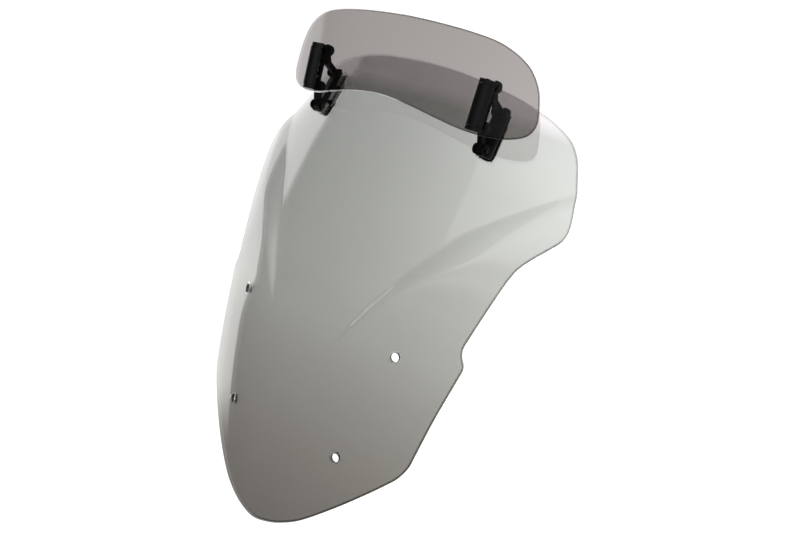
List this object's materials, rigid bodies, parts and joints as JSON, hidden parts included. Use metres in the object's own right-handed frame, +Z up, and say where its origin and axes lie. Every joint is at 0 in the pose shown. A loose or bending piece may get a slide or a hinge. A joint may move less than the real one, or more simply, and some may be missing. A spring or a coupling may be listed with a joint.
{
  "type": "windshield screen",
  "caption": "Tinted motorcycle touring windshield with a spoiler blade that moves on a pair of four-bar link brackets clamped to the screen's top edge.",
  "frame": {"origin": "centre of the pattern of four fixing holes, on the plane of symmetry", "axes": "X lateral, +X towards the rider's left; -Y forward, towards the road ahead; +Z up along the screen's centre line"},
  "size_m": [0.4384, 0.1057, 0.5346],
  "materials": {
    "tinted_acrylic": "clear polished acrylic with a smoke-grey tint",
    "black_plastic": "satin black moulded glass-filled nylon",
    "black_rubber": "matte black rubber",
    "black_steel": "black oxide steel"
  },
  "bodies": {
    "screen": {"main_screen": "tinted_acrylic", "bracket_base_left": "black_plastic", "base_gasket_left": "black_rubber", "clamp_plate_left": "black_plastic", "clamp_gasket_left": "black_rubber", "clamp_screw_left_1": "black_steel", "clamp_screw_left_2": "black_steel", "base_pin_upper_left": "black_steel", "base_pin_lower_left": "black_steel", "bracket_base_right": "black_plastic", "base_gasket_right": "black_rubber", "clamp_plate_right": "black_plastic", "clamp_gasket_right": "black_rubber", "clamp_screw_right_1": "black_steel", "clamp_screw_right_2": "black_steel", "base_pin_upper_right": "black_steel", "base_pin_lower_right": "black_steel"},
    "spoiler": {"spoiler_blade": "tinted_acrylic", "spoiler_rail_left": "black_plastic", "rail_cover_left": "black_plastic", "cover_gasket_left": "black_rubber", "rail_cap_upper_left": "black_plastic", "rail_cap_lower_left": "black_plastic", "rail_screw_left_1": "black_steel", "rail_screw_left_2": "black_steel", "rail_pin_upper_left": "black_steel", "rail_pin_lower_left": "black_steel", "spoiler_rail_right": "black_plastic", "rail_cover_right": "black_plastic", "cover_gasket_right": "black_rubber", "rail_cap_upper_right": "black_plastic", "rail_cap_lower_right": "black_plastic", "rail_screw_right_1": "black_steel", "rail_screw_right_2": "black_steel", "rail_pin_upper_right": "black_steel", "rail_pin_lower_right": "black_steel"},
    "upper_link_left": {"upper_link_left": "black_plastic"},
    "lower_link_left": {"lower_link_left": "black_plastic"},
    "upper_link_right": {"upper_link_right": "black_plastic"},
    "lower_link_right": {"lower_link_right": "black_plastic"}
  },
  "joints": [
    {"name": "spoiler_adjust", "type": "hinge", "parent": "screen", "child": "upper_link_left", "pos_m": [0.119, 0.0124, 0.3125], "axis": [1, 0, 0], "range_deg": [-4, 22]},
    {"name": "upper_link_right_hinge", "type": "hinge", "parent": "screen", "child": "upper_link_right", "pos_m": [-0.119, 0.0124, 0.3125], "axis": [1, 0, 0], "range_deg": [-4, 22]},
    {"name": "lower_link_left_hinge", "type": "hinge", "parent": "screen", "child": "lower_link_left", "pos_m": [0.119, 0.0052, 0.2725], "axis": [1, 0, 0], "range_deg": [-7.36, 40.03]},
    {"name": "lower_link_right_hinge", "type": "hinge", "parent": "screen", "child": "lower_link_right", "pos_m": [-0.119, 0.0052, 0.2725], "axis": [1, 0, 0], "range_deg": [-7.36, 40.03]},
    {"name": "spoiler_hinge", "type": "hinge", "parent": "upper_link_left", "child": "spoiler", "pos_m": [0.119, -0.0104, 0.3304], "axis": [1, 0, 0], "range_deg": [-29.8, 5.5]}
  ],
  "couplings": [
    {"joint": "upper_link_right_hinge", "follows": "spoiler_adjust", "ratio": 1},
    {"joint": "lower_link_left_hinge", "follows": "spoiler_adjust", "ratio": 1.815},
    {"joint": "lower_link_right_hinge", "follows": "spoiler_adjust", "ratio": 1.815},
    {"joint": "spoiler_hinge", "follows": "spoiler_adjust", "ratio": -1.35}
  ]
}
